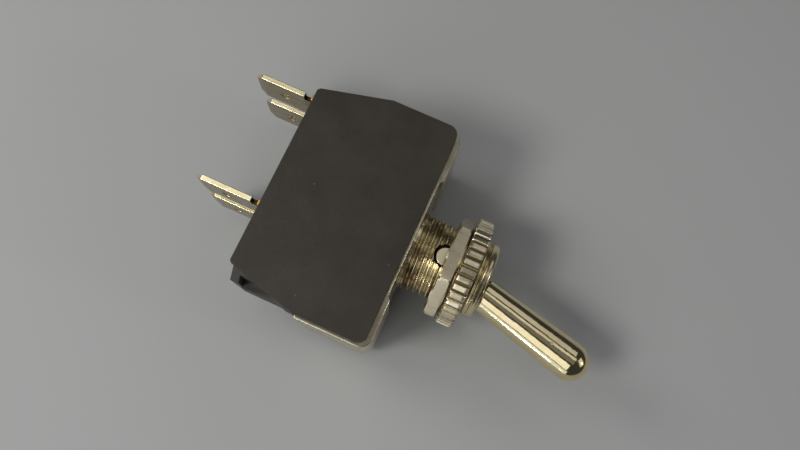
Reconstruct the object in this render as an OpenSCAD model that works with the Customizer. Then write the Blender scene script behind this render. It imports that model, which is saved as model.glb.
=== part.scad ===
// Double-pole on-off bat-handle toggle switch, lying on its broad side.
// Row frame: X along the threaded bushing towards the handle, Y along the housing's
// length, Z across its thickness. The origin is on the bushing's axis, at the front
// face of the mounting bracket.

/* [Housing] */
// length of the broad face, along the throw
case_len = 33.4; // [28:0.1:40]
// length of the broad face at its narrow back edge
case_back_len = 28.0; // [24:0.1:33]
// depth of the broad face, front edge to back edge
case_depth = 21.1; // [16:0.1:28]
// depth of the full-length part, before the taper starts
case_straight = 10.4; // [6:0.1:16]
// thickness over both broad faces
case_thick = 21.6; // [18:0.1:25]
// step from the bracket's front face back to the broad face's front edge
case_setback = 0.85; // [0.3:0.05:2]
// radius of the broad face's front corners
case_corner = 2.0; // [0.5:0.1:3]
// size of the small flats on the broad face's back corners
case_clip = 0.35; // [0.1:0.05:2]
// how far the cheeks stand out past each end of the core between them
cheek_over = 0.75; // [0.2:0.05:2]
// thickness of the core
core_thick = 16.0; // [12:0.1:18]
// thickness of the core's end walls
end_wall = 1.8; // [1.2:0.1:2.5]
// thickness of the core's front wall
front_wall = 1.05; // [1:0.05:2.5]
// depth of the hollow into each broad cheek
cheek_relief = 0.6; // [0:0.1:1.2]
// edge break on the broad faces
case_edge = 0.25; // [0.1:0.05:0.5]
// radius of the hole in the front wall
front_hole_r = 7.6; // [7.2:0.1:9]

/* [End Pockets] */
// depth of each end pocket, along X
pocket_w = 5.7; // [3:0.1:8]
// distance of each end pocket's floor from the middle of the thickness
pocket_floor = 3.0; // [1:0.1:5]
// how far each end pocket is sunk into the end wall
pocket_sink = 1.2; // [0.5:0.1:1.5]

/* [Terminal Base] */
// thickness of the base's outer flange
base_flange = 1.3; // [0.8:0.1:2]
// how far the base's outer flange stops short of each end of the core
flange_inset = 0.15; // [0:0.05:2]
// thickness of the whole base, flange and plug
base_thick = 4.15; // [3:0.05:6]
// clearance of the base in the housing
base_gap = 0.05; // [0.02:0.01:0.2]
// height of the rib between the poles, above the plug
barrier_h = 7.0; // [3:0.1:7.5]
// thickness of the rib between the poles
barrier_t = 1.2; // [0.8:0.1:2]
// corner flats of the flange, seen from the back
flange_clip = 2.1; // [0.2:0.1:3]

/* [Bracket] */
// thickness of the bracket's sheet
sheet = 1.0; // [0.6:0.1:1.6]
// how far the middle of the bracket's front lies behind its end pads
plate_step = 0.5; // [0.1:0.05:0.8]
// half-length of that recessed middle
plate_half = 8.9; // [8:0.1:12]
// length of the slope at each end of it
plate_ramp = 0.5; // [0.2:0.1:1]
// gap between the core and each arm of the bracket
arm_gap = 0.1; // [0.05:0.05:0.5]
// width of the bracket, along Z
bracket_w = 15.8; // [12:0.1:18]
// reach of the arms behind the front face
arm_reach = 11.25; // [8:0.05:15]
// outer radius of the bends
bend_r = 1.8; // [1.2:0.1:3]
// width of the crimped tongue at each arm's end
tongue_w = 7.0; // [4:0.1:12]
// length of the crimped tongue, along X
tongue_l = 0.9; // [0.6:0.05:1.5]
// how far each tongue is driven into the housing
tongue_in = 0.85; // [0.4:0.05:1.2]
// clearance of each tongue in its slot
tongue_gap = 0.25; // [0.05:0.05:0.6]

/* [Bushing] */
// outside diameter of the thread
thread_d = 12.0; // [11:0.1:13]
// length of the bushing in front of the bracket
bushing_len = 11.7; // [8:0.1:16]
// diameter of the bore round the ball
bore_d = 8.2; // [7:0.1:9]
// diameter of the wide mouth
mouth_d = 9.8; // [9:0.1:10.4]
// depth of the wide mouth, down to its cone
mouth_depth = 2.3; // [1.5:0.1:6]
// length of the cone between mouth and bore
mouth_cone = 1.0; // [0.4:0.1:2]
// diameter of the staked flange behind the bracket
stake_d = 14.0; // [13:0.1:15]
// thickness of the staked flange
stake_t = 0.85; // [0.5:0.05:1.5]
// chamfer on the bushing's front edge
rim_chamfer = 0.45; // [0.2:0.05:0.8]
// clearance of the bushing in the bracket's hole
bushing_gap = 0.04; // [0.02:0.01:0.1]

/* [Pivot] */
// distance of the pivot in front of the bracket
pivot_x = 4.55; // [3:0.05:8]
// diameter of the pivot pin
pin_d = 2.9; // [2:0.1:3.5]
// length of the pivot pin
pin_len = 10.6; // [9:0.1:11.5]
// running clearance of the pin in the ball
pin_run = 0.05; // [0.02:0.01:0.1]
// diameter of the sunk seats at the pin's ends
seat_d = 3.5; // [3:0.1:4.5]
// angle of the handle from the bushing's axis, at either end of its throw
tilt = 14.0; // [10:0.5:18]

/* [Handle] */
// diameter of the ball
ball_d = 8.0; // [7:0.1:8.1]
// distance of the handle's tip from the pivot
bat_reach = 26.5; // [20:0.1:32]
// diameter of the bat where it leaves the bushing
bat_base_d = 5.1; // [3.5:0.1:6]
// largest diameter of the bat
bat_d = 6.0; // [4.5:0.1:6.5]
// distance of the bat's narrow end from the pivot
bat_start = 7.6; // [6:0.1:10]
// diameter of the neck between ball and bat
neck_d = 4.0; // [3:0.1:4.4]
// diameter of the stem behind the ball
stem_d = 4.0; // [3:0.1:4.4]
// length of the stem, from the pivot
stem_reach = 12.2; // [10:0.1:13]

/* [Nuts] */
// size of the hex nut across its flats
hex_af = 14.3; // [13:0.1:17]
// thickness of the hex nut
hex_t = 2.2; // [1.5:0.1:3.5]
// position of the hex nut's back face on the thread
hex_x = 4.6; // [0.2:0.1:8]
// turn of the hex nut about the thread
hex_turn = 24.5; // [0:0.5:60]
// diameter over the knurled nut's teeth
knurl_d = 17.0; // [15:0.1:19]
// depth of the knurled nut's grooves
knurl_depth = 0.5; // [0.3:0.05:0.8]
// number of teeth on the knurled nut
knurl_n = 40; // [24:1:60]
// thickness of the knurled nut
knurl_t = 2.5; // [1.5:0.1:4]
// gap between the two nuts
nut_gap = 0.2; // [0.1:0.05:1]
// clearance of the nuts' bores over the thread
nut_run = 0.05; // [0.02:0.01:0.1]
// chamfer at the mouths of the nuts' bores
nut_mouth = 0.35; // [0.1:0.05:0.6]

/* [Terminals] */
// width of each blade
blade_w = 6.35; // [4.8:0.05:6.5]
// thickness of each blade
blade_t = 0.8; // [0.5:0.1:1]
// distance between the two poles
pole_pitch = 9.0; // [8:0.1:10]
// distance of the end terminals from the end of the core
end_inset = 2.65; // [2.3:0.05:4]
// position of the centre terminals along the housing
centre_y = -4.3; // [-6:0.1:-3]
// reach of the end blades behind the bracket's front face
end_reach = 32.1; // [28:0.1:34]
// reach of the centre blades behind the bracket's front face
centre_reach = 33.0; // [28:0.1:34]
// length of the bevel at each blade's tip
tip_bevel = 1.0; // [0.5:0.1:2]
// diameter of the hole in each blade
blade_hole_d = 1.6; // [1:0.1:2.5]
// distance of the hole from the blade's tip
blade_hole_in = 4.6; // [3:0.1:5.5]
// width of the notch near each blade's root
notch_w = 1.0; // [0.6:0.1:1.5]
// depth of the notch near each blade's root
notch_h = 1.3; // [0.6:0.1:2]
// distance of the notch behind the housing
notch_out = 1.1; // [0.5:0.1:2]
// width of the terminals' feet inside the housing
foot_w = 5.4; // [4:0.1:6]

/* [Contacts] */
// height of the saddle's centre above the terminals' feet
saddle_h = 2.5; // [2:0.1:3.5]
// radius of the saddle's rounded top
saddle_r = 1.0; // [0.6:0.1:1.4]
// thickness of the rocking contacts
rocker_t = 1.0; // [0.6:0.1:1.2]
// width of the rocking contacts
rocker_w = 5.0; // [3:0.1:6]
// how far the rocking contacts reach past the middle of their buttons
rocker_over = 1.2; // [0.5:0.1:2]
// angle of the rocking contacts at either end of their travel
rock = 8.0; // [5:0.5:10]
// distance of the contact buttons from the end terminals
button_inset = 3.9; // [3:0.1:5]
// diameter of the contact buttons
button_d = 3.0; // [2:0.1:3.6]
// height of the fixed contact buttons
fixed_h = 0.7; // [0.4:0.1:1]
// height of the moving contact buttons
moving_h = 0.6; // [0.4:0.1:1]
// gap kept between pieces that touch when switched
touch = 0.03; // [0.01:0.01:0.05]

/* [Actuator] */
// distance of the actuator's front face from the pivot
act_start = 8.4; // [8:0.1:9]
// distance of the actuator's back face from the pivot
act_end = 13.0; // [12:0.1:14]
// size of the actuator along the throw
act_len = 6.8; // [5:0.1:8]
// size of the actuator across both poles
act_w = 14.2; // [12:0.1:15]
// radius of the plungers
plunger_r = 1.3; // [1:0.1:1.6]
// radial clearance of the plungers in the actuator
plunger_run = 0.06; // [0.02:0.01:0.1]
// depth of the plungers' bores
plunger_bore = 3.8; // [3:0.1:4.2]
// length of each plunger inside its bore
plunger_in = 2.0; // [1.5:0.1:2.6]
// wire diameter of the plunger springs
wire_d = 0.35; // [0.2:0.05:0.5]
// turns of the plunger springs
spring_turns = 4; // [3:1:6]

/* [Hidden] */
$fn = 96;
eps = 0.01;
case_front = -case_setback;
core_len = case_len - 2 * cheek_over;
bracket_len = core_len + 2 * (arm_gap + sheet);
base_flange_len = core_len - 2 * flange_inset;
end_y = core_len / 2 - end_inset;
button_y = end_y - button_inset;
rocker_half = button_y + rocker_over;
case_back = case_front - case_depth;
taper_x = case_front - case_straight;
half_t = case_thick / 2;
plate_back = -sheet - plate_step;
core_front = plate_back - 0.05;
flange_front = case_back + base_flange;
base_in = case_back + base_thick;
foot_top = base_in + blade_t;
saddle_x = foot_top + saddle_h;
dish_gap = saddle_r + 0.05;
tip_x = saddle_x + dish_gap + rocker_t + touch + plunger_r;
tip_reach = pivot_x - tip_x;
tip_throw = tip_reach * sin(tilt);
tip_drop = tip_reach * (1 - cos(tilt)) * cos(rock) + tip_throw * sin(rock)
    - (tip_x - saddle_x) * (1 - cos(rock));
tip_side = tip_throw * cos(rock) - (tip_x - saddle_x + tip_reach * (1 - cos(tilt))) * sin(rock);
path_r = (tip_side * tip_side + tip_drop * tip_drop) / (2 * tip_drop);
dish_r = path_r + plunger_r + touch;
dish_x = saddle_x + dish_gap + rocker_t + dish_r;
dish_half = tip_side * dish_r / path_r + 1.1;
arm_low = foot_top + fixed_h + touch + moving_h - saddle_x;
hex_r = hex_af / 2 / cos(30);
knurl_x = hex_x + hex_t + nut_gap;

// ---- shared forms ----

// a solid of revolution about X from points [x, radius]
module turned(points) rotate([90, 0, 90]) rotate_extrude() polygon([for (p = points) [p[1], p[0]]]);

// a round bar along X
module bar_x(x, len, d) translate([x, 0, 0]) rotate([0, 90, 0]) cylinder(h = len, d = d);

// a box given by its two opposite corners
module block(lo, hi) translate(lo) cube(hi - lo);

// the handle's own frame: X along the bat, at the end of its throw
module at_handle() translate([pivot_x, 0, 0]) rotate([0, 0, -tilt]) children();

// the rocking contacts' own frame: pivot at the origin, tipped towards the end terminals
module at_rocker() translate([saddle_x, 0, 0]) rotate([0, 0, rock]) children();

// outline of the broad faces, shrunk by inset
module case_outline(inset) {
    b = case_back_len / 2 - inset;
    f = case_len / 2 - inset;
    x0 = case_back + inset;
    x1 = case_front - inset;
    r = case_corner - inset;
    difference() {
        polygon([
            [x0, -b + case_clip], [x0 + case_clip, -b], [taper_x, -f], [x1, -f], [x1, f],
            [taper_x, f], [x0 + case_clip, b], [x0, b - case_clip]
        ]);
        for (s = [-1, 1]) difference() {
            translate([x1 - r, s > 0 ? f - r : -f]) square([r + 1, r]);
            translate([x1 - r, s * (f - r)]) circle(r);
            translate([x1 - r - 1, -f]) square([1, 2 * f]);
        }
    }
}

// the core between the cheeks, its front corners clipped to clear the bracket's bends
module core_outline() {
    h = core_len / 2;
    clip = bend_r - sheet + arm_gap;
    polygon([
        [flange_front, -h], [core_front - clip, -h], [core_front, clip - h],
        [core_front, h - clip], [core_front - clip, h], [flange_front, h]
    ]);
}

// one broad cheek with its outer edge broken
module cheek() {
    z0 = core_thick / 2;
    translate([0, 0, z0]) linear_extrude(half_t - z0 - case_edge) case_outline(0);
    translate([0, 0, half_t - case_edge - eps]) linear_extrude(case_edge + eps)
        case_outline(case_edge);
}

// ---- nodes ----

module housing() color([0.16, 0.155, 0.15]) {
    pocket_y = core_len / 2 - pocket_sink;
    difference() {
        union() {
            cheek();
            mirror([0, 0, 1]) cheek();
            translate([0, 0, -core_thick / 2 - eps]) linear_extrude(core_thick + 2 * eps)
                core_outline();
        }
        // room for the mechanism
        block([base_in, end_wall - core_len / 2, -core_thick / 2 - cheek_relief],
            [core_front - front_wall, core_len / 2 - end_wall, core_thick / 2 + cheek_relief]);
        // seat of the terminal base's plug
        block([case_back - 1, end_wall - core_len / 2, -core_thick / 2],
            [base_in + eps, core_len / 2 - end_wall, core_thick / 2]);
        bar_x(core_front - front_wall - 1, front_wall + 2, 2 * front_hole_r);
        for (s = [-1, 1]) {
            // pockets in the end walls, near the back
            for (t = [-1, 1]) block(
                [flange_front - eps, s > 0 ? pocket_y : -pocket_y - 3,
                    t > 0 ? pocket_floor : -core_thick / 2 - eps],
                [flange_front + pocket_w, s > 0 ? pocket_y + 3 : -pocket_y,
                    t > 0 ? core_thick / 2 + eps : -pocket_floor]);
            // slots for the bracket's tongues
            block([-arm_reach - tongue_gap, s > 0 ? core_len / 2 - tongue_in : -core_len / 2 - 3,
                    -core_thick / 2 - eps],
                [-arm_reach + tongue_l + tongue_gap,
                    s > 0 ? core_len / 2 + 3 : tongue_in - core_len / 2, core_thick / 2 + eps]);
        }
    }
}

module blade_slot(y, pole) {
    g = base_gap;
    block([case_back - 1, y - blade_t / 2 - g, pole * pole_pitch / 2 - blade_w / 2 - g],
        [base_in + 1, y + blade_t / 2 + g, pole * pole_pitch / 2 + blade_w / 2 + g]);
}

module terminal_base() color([0.2, 0.19, 0.18]) {
    plug_y = core_len / 2 - end_wall - base_gap;
    plug_z = core_thick / 2 - base_gap;
    fl = base_flange_len / 2;
    stop_top = saddle_x + arm_low - touch;
    difference() {
        union() {
            block([flange_front - 0.2, -plug_y, -plug_z], [base_in, plug_y, plug_z]);
            translate([case_back, 0, 0]) rotate([90, 0, 90]) linear_extrude(base_flange - 0.02)
                polygon([
                    [-fl + flange_clip, -plug_z], [fl - flange_clip, -plug_z],
                    [fl, flange_clip - plug_z], [fl, plug_z - flange_clip],
                    [fl - flange_clip, plug_z], [flange_clip - fl, plug_z],
                    [-fl, plug_z - flange_clip], [-fl, flange_clip - plug_z]
                ]);
            // rib between the poles
            block([base_in - eps, 2 - plug_y, -barrier_t / 2],
                [base_in + barrier_h, plug_y - 2, barrier_t / 2]);
            // rests for the rocking contacts when switched off
            for (p = [-1, 1]) block(
                [base_in - eps, -button_y - 1.5, p * pole_pitch / 2 - rocker_w / 2],
                [stop_top, -button_y + 1.2, p * pole_pitch / 2 + rocker_w / 2]);
        }
        for (p = [-1, 1]) for (y = [end_y, centre_y]) blade_slot(y, p);
    }
}

// the recessed middle of the bracket's front, between its slopes
module plate_middle(x) {
    h = plate_half;
    polygon([
        [x + eps, -h - plate_ramp], [x - plate_step, -h], [x - plate_step, h],
        [x + eps, h + plate_ramp]
    ]);
}

module bracket() color([0.72, 0.69, 0.6]) {
    l = bracket_len / 2;
    in = l - sheet;
    ri = bend_r - sheet;
    difference() {
        union() {
            translate([0, 0, -bracket_w / 2]) linear_extrude(bracket_w) difference() {
                union() {
                    difference() {
                        union() {
                            translate([-bend_r, bend_r - l]) square([bend_r, 2 * (l - bend_r)]);
                            translate([-arm_reach, -l]) square([arm_reach - bend_r, 2 * l]);
                            for (s = [-1, 1]) translate([-bend_r, s * (l - bend_r)]) circle(bend_r);
                        }
                        translate([-arm_reach - 1, -in])
                            square([arm_reach + 1 - bend_r, 2 * in]);
                        translate([-bend_r - eps, ri - in]) square([ri + eps, 2 * (in - ri)]);
                        for (s = [-1, 1]) translate([-bend_r, s * (in - ri)]) circle(ri);
                    }
                    plate_middle(-sheet);
                }
                plate_middle(0);
            }
            for (s = [-1, 1]) block(
                [-arm_reach, s > 0 ? in - tongue_in : -in - eps, -tongue_w / 2],
                [tongue_l - arm_reach, s > 0 ? in + eps : tongue_in - in, tongue_w / 2]);
        }
        bar_x(plate_back - 1, 2 - plate_back, thread_d + 2 * bushing_gap);
    }
}

module bushing() color([0.74, 0.7, 0.58]) {
    r = thread_d / 2;
    seat = plate_back - 0.02;
    back = seat - stake_t;
    cone_x = bushing_len - mouth_depth;
    difference() {
        turned([
            [back, bore_d / 2], [back, stake_d / 2], [seat, stake_d / 2], [seat, r],
            [bushing_len - rim_chamfer, r],
            [bushing_len, r - rim_chamfer], [bushing_len, mouth_d / 2 + 0.2],
            [bushing_len - 0.2, mouth_d / 2], [cone_x, mouth_d / 2],
            [cone_x - mouth_cone, bore_d / 2]
        ]);
        translate([pivot_x, 0, -8]) cylinder(h = 16, d = pin_d + 0.02);
        for (s = [-1, 1]) translate([pivot_x, 0, s > 0 ? pin_len / 2 : -8])
            cylinder(h = 8 - pin_len / 2, d = seat_d);
    }
}

module pivot_pin() color([0.78, 0.76, 0.68]) {
    translate([pivot_x, 0, 0]) rotate_extrude() polygon([
        [0, -pin_len / 2], [pin_d / 2 - 0.15, -pin_len / 2], [pin_d / 2, 0.15 - pin_len / 2],
        [pin_d / 2, pin_len / 2 - 0.15], [pin_d / 2 - 0.15, pin_len / 2], [0, pin_len / 2]
    ]);
}

module lever() color([0.8, 0.75, 0.62]) {
    rb = bat_d / 2;
    tip = bat_reach - rb;
    join = 6; // degrees behind the tip ball's widest circle where the taper meets it
    at_handle() difference() {
        rotate([90, 0, 90]) rotate_extrude() intersection() {
            union() {
                circle(d = ball_d);
                translate([0, -stem_reach]) square([stem_d / 2, stem_reach]);
                square([neck_d / 2, bat_start]);
                polygon([
                    [0, bat_start - 0.4], [neck_d / 2, bat_start - 0.4],
                    [bat_base_d / 2, bat_start], [rb * cos(join), tip - rb * sin(join)],
                    [rb / 2, tip], [0, tip]
                ]);
                translate([0, tip]) circle(rb);
            }
            translate([0, -stem_reach]) square([ball_d, stem_reach + bat_reach]);
        }
        translate([0, 0, -8]) cylinder(h = 16, d = pin_d + 2 * pin_run);
    }
}

// a nut's bore with both mouths chamfered, to be cut away
module nut_bore(t) {
    r = thread_d / 2 + nut_run;
    turned([
        [-eps, 0], [-eps, r + nut_mouth], [nut_mouth, r], [t - nut_mouth, r],
        [t + eps, r + nut_mouth], [t + eps, 0]
    ]);
}

module hex_nut() color([0.76, 0.73, 0.66]) {
    c = (hex_r - hex_af / 2) * 0.36;
    translate([hex_x, 0, 0]) difference() {
        intersection() {
            rotate([hex_turn, 0, 0]) rotate([0, 90, 0]) cylinder(h = hex_t, r = hex_r, $fn = 6);
            turned([
                [0, 0], [0, hex_af / 2 - 0.1], [c, hex_r + 0.02], [hex_t - c, hex_r + 0.02],
                [hex_t, hex_af / 2 - 0.1], [hex_t, 0]
            ]);
        }
        nut_bore(hex_t);
    }
}

module knurled_nut() color([0.78, 0.74, 0.62]) {
    ro = knurl_d / 2;
    ri = ro - knurl_depth;
    step = 360 / knurl_n;
    translate([knurl_x, 0, 0]) difference() {
        intersection() {
            rotate([90, 0, 90]) linear_extrude(knurl_t) polygon([
                for (i = [0:knurl_n - 1]) for (q = [[-0.3, ri], [-0.2, ro], [0.2, ro], [0.3, ri]])
                    q[1] * [cos((i + q[0]) * step), sin((i + q[0]) * step)]
            ]);
            turned([
                [0, 0], [0, ro - 0.35], [0.35, ro + 0.02], [knurl_t - 0.35, ro + 0.02],
                [knurl_t, ro - 0.35], [knurl_t, 0]
            ]);
        }
        nut_bore(knurl_t);
    }
}

module actuator() color([0.85, 0.83, 0.76]) {
    at_handle() difference() {
        block([-act_end, -act_len / 2, -act_w / 2], [-act_start, act_len / 2, act_w / 2]);
        bar_x(-stem_reach - 0.05, stem_reach, stem_d + 0.04);
        for (p = [-1, 1]) translate([0, 0, p * pole_pitch / 2])
            bar_x(-act_end - 1, plunger_bore + 1, 2 * (plunger_r + plunger_run));
    }
}

module plunger(pole) {
    at_handle() translate([0, 0, pole * pole_pitch / 2]) {
        bar_x(-tip_reach, tip_reach - act_end + plunger_in, 2 * plunger_r);
        translate([-tip_reach, 0, 0]) sphere(r = plunger_r);
    }
}

// closed-coil compression spring, drawn as touching rings
module plunger_spring(pole) {
    x0 = plunger_in + touch - act_end;
    free = plunger_bore - plunger_in - 2 * touch - wire_d;
    at_handle() translate([x0 + wire_d / 2, 0, pole * pole_pitch / 2]) rotate([90, 0, 90]) {
        for (i = [0:spring_turns - 1]) translate([0, 0, i * free / (spring_turns - 1)])
            rotate_extrude() translate([plunger_r - wire_d / 2 - 0.05, 0]) circle(d = wire_d, $fn = 24);
        translate([plunger_r - wire_d / 2 - 0.05, 0, 0]) cylinder(h = free, d = wire_d * 0.8, $fn = 16);
    }
}

// formed strip: a dish for the plunger between two raised arms
module rocker_dish() {
    rise = sqrt(dish_r * dish_r - dish_half * dish_half);
    translate([dish_x - saddle_x, 0]) difference() {
        circle(dish_r + rocker_t);
        circle(dish_r);
        translate([-rise, -30]) square([60, 60]);
    }
}

module rocker_leg() {
    lift = tan(rock);
    ex = dish_half;
    top = dish_x - saddle_x - sqrt(dish_r * dish_r - ex * ex);
    leg_in = ex + rocker_t * 1.35;
    leg_out = leg_in + rocker_t;
    polygon([
        [top - 0.4, ex + 0.25], [top + 0.45, ex + 0.25],
        [top + 0.45, leg_out], [arm_low + rocker_t + leg_out * lift, leg_out],
        [arm_low + rocker_t + rocker_half * lift, rocker_half],
        [arm_low + rocker_half * lift, rocker_half],
        [arm_low + leg_in * lift, leg_in], [top - 0.4, leg_in]
    ]);
}

module rocker_contact(pole) {
    at_rocker() translate([0, 0, pole * pole_pitch / 2 - rocker_w / 2]) {
        linear_extrude(rocker_w) rocker_dish();
        for (side = [0, 1]) mirror([0, side, 0]) linear_extrude(rocker_w) rocker_leg();
    }
}

module moving_contact(pole) {
    translate([saddle_x + arm_low - moving_h, button_y, pole * pole_pitch / 2])
        rotate([0, 90, 0]) cylinder(h = moving_h - eps, d = button_d);
}

module fixed_contact(pole) {
    translate([foot_top + eps, button_y, pole * pole_pitch / 2])
        rotate([0, 90, 0]) cylinder(h = fixed_h - eps, d = button_d + 0.2);
}

// a blade from its bevelled tip to the foot inside the housing
module blade(y, reach, pole) {
    zc = pole * pole_pitch / 2;
    notch_x = case_back - notch_out - notch_w;
    difference() {
        translate([0, y + blade_t / 2, 0]) rotate([90, 0, 0]) linear_extrude(blade_t) polygon([
            [-reach, zc - blade_w / 2 + tip_bevel], [tip_bevel - reach, zc - blade_w / 2],
            [foot_top, zc - blade_w / 2], [foot_top, zc + blade_w / 2],
            [notch_x + notch_w, zc + blade_w / 2], [notch_x + notch_w, zc + blade_w / 2 - notch_h],
            [notch_x, zc + blade_w / 2 - notch_h], [notch_x, zc + blade_w / 2],
            [tip_bevel - reach, zc + blade_w / 2], [-reach, zc + blade_w / 2 - tip_bevel]
        ]);
        // thinned edge at the tip
        for (s = [-1, 1]) translate([tip_bevel + 0.1 - reach, y + s * blade_t / 2, zc])
            rotate([0, 0, s * 12]) translate([-3, s > 0 ? 0 : -1, -5]) cube([3, 1, 10]);
        translate([blade_hole_in - reach, y - 1, zc]) rotate([-90, 0, 0])
            cylinder(h = 2, d = blade_hole_d);
    }
}

module end_terminal(pole) {
    zc = pole * pole_pitch / 2;
    blade(end_y, end_reach, pole);
    block([base_in + 0.02, button_y - 2, zc - foot_w / 2],
        [foot_top, end_y + blade_t / 2, zc + foot_w / 2]);
}

module centre_terminal(pole) {
    zc = pole * pole_pitch / 2;
    blade(centre_y, centre_reach, pole);
    block([base_in + 0.02, centre_y - blade_t / 2, zc - foot_w / 2],
        [foot_top, saddle_r + 0.6, zc + foot_w / 2]);
    block([foot_top - eps, -saddle_r, zc - rocker_w / 2], [saddle_x, saddle_r, zc + rocker_w / 2]);
    translate([saddle_x, 0, zc - rocker_w / 2]) cylinder(h = rocker_w, r = saddle_r);
}

module plunger_upper() color([0.7, 0.68, 0.64]) plunger(1);
module plunger_lower() color([0.7, 0.68, 0.64]) plunger(-1);
module plunger_spring_upper() color([0.66, 0.66, 0.68]) plunger_spring(1);
module plunger_spring_lower() color([0.66, 0.66, 0.68]) plunger_spring(-1);
module rocker_contact_upper() color([0.82, 0.6, 0.36]) rocker_contact(1);
module rocker_contact_lower() color([0.82, 0.6, 0.36]) rocker_contact(-1);
module moving_contact_upper() color([0.86, 0.86, 0.84]) moving_contact(1);
module moving_contact_lower() color([0.86, 0.86, 0.84]) moving_contact(-1);
module fixed_contact_upper() color([0.86, 0.86, 0.84]) fixed_contact(1);
module fixed_contact_lower() color([0.86, 0.86, 0.84]) fixed_contact(-1);
module end_terminal_upper() color([0.86, 0.72, 0.42]) end_terminal(1);
module end_terminal_lower() color([0.86, 0.72, 0.42]) end_terminal(-1);
module centre_terminal_upper() color([0.86, 0.72, 0.42]) centre_terminal(1);
module centre_terminal_lower() color([0.86, 0.72, 0.42]) centre_terminal(-1);

housing();
terminal_base();
bracket();
bushing();
pivot_pin();
lever();
hex_nut();
knurled_nut();
actuator();
plunger_upper();
plunger_lower();
plunger_spring_upper();
plunger_spring_lower();
rocker_contact_upper();
rocker_contact_lower();
moving_contact_upper();
moving_contact_lower();
fixed_contact_upper();
fixed_contact_lower();
end_terminal_upper();
end_terminal_lower();
centre_terminal_upper();
centre_terminal_lower();
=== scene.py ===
"""Looks of a bat-handle toggle switch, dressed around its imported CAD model.

Each sub-assembly is a class that builds its own meshes and gives them their finish. Lengths are in
metres, in the row frame: +X runs along the bushing towards the handle, +Y along the housing, and
+Z is up.
"""

import enum
import logging
import math
from collections.abc import Callable
from dataclasses import dataclass

import bmesh
import bpy
import numpy as np
from mathutils import Matrix, Vector


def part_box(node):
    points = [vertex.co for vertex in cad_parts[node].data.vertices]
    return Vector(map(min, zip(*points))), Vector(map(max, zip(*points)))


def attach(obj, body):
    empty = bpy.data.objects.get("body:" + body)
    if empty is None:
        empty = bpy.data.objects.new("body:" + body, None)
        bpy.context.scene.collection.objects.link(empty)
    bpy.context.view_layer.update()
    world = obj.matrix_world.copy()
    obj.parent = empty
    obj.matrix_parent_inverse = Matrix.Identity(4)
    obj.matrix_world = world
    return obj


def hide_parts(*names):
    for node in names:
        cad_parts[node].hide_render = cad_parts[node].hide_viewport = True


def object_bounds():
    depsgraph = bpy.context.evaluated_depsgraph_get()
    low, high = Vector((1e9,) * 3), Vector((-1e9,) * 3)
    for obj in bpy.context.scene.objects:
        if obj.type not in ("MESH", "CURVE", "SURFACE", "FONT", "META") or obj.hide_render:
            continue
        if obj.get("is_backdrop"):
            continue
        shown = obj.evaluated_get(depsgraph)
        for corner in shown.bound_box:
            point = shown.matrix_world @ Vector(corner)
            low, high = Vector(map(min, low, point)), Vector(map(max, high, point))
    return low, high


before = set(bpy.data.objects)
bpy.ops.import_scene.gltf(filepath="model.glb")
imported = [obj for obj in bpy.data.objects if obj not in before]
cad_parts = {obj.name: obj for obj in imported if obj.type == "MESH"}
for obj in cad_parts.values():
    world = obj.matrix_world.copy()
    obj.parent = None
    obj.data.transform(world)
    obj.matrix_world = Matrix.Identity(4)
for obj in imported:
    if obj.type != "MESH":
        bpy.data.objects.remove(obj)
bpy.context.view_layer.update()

LOG = logging.getLogger("toggle_switch")
MM = 0.001
MERGE = 1e-7
COPY_MERGE = 1e-6
FLAT_DEG = 0.5
SHARP_DEG = 28.0

Triple = tuple[float, float, float]
Outline = list[tuple[float, float]]
Socket = bpy.types.NodeSocket
Value = Socket | float | Triple
Reshape = Callable[[np.ndarray], None]
RadiusLaw = Callable[[np.ndarray, np.ndarray, np.ndarray], np.ndarray]


class Side(enum.Enum):
    """The two poles of the switch, named by the broad face that each lies next to."""

    UPPER = 1
    LOWER = -1


class Body(enum.Enum):
    """The CAD bodies that new pieces ride on."""

    SWITCH = "switch_body"
    TOGGLE = "toggle"
    HEX_NUT = "hex_nut"
    KNURLED_NUT = "knurled_nut"


class Axis(enum.Enum):
    """The axes of the row frame, as the nodes and the rotations name them."""

    X = "X"
    Y = "Y"
    Z = "Z"


class Texture(enum.Enum):
    """Procedural patterns that a finish can be built from."""

    NOISE = "ShaderNodeTexNoise"
    VORONOI = "ShaderNodeTexVoronoi"


class Maths(enum.Enum):
    """Steps of arithmetic between the nodes of a finish."""

    ADD = "ADD"
    SUBTRACT = "SUBTRACT"
    MULTIPLY = "MULTIPLY"
    POWER = "POWER"
    SQRT = "SQRT"
    ABSOLUTE = "ABSOLUTE"


# ---------------------------------------------------------------- node trees


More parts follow.
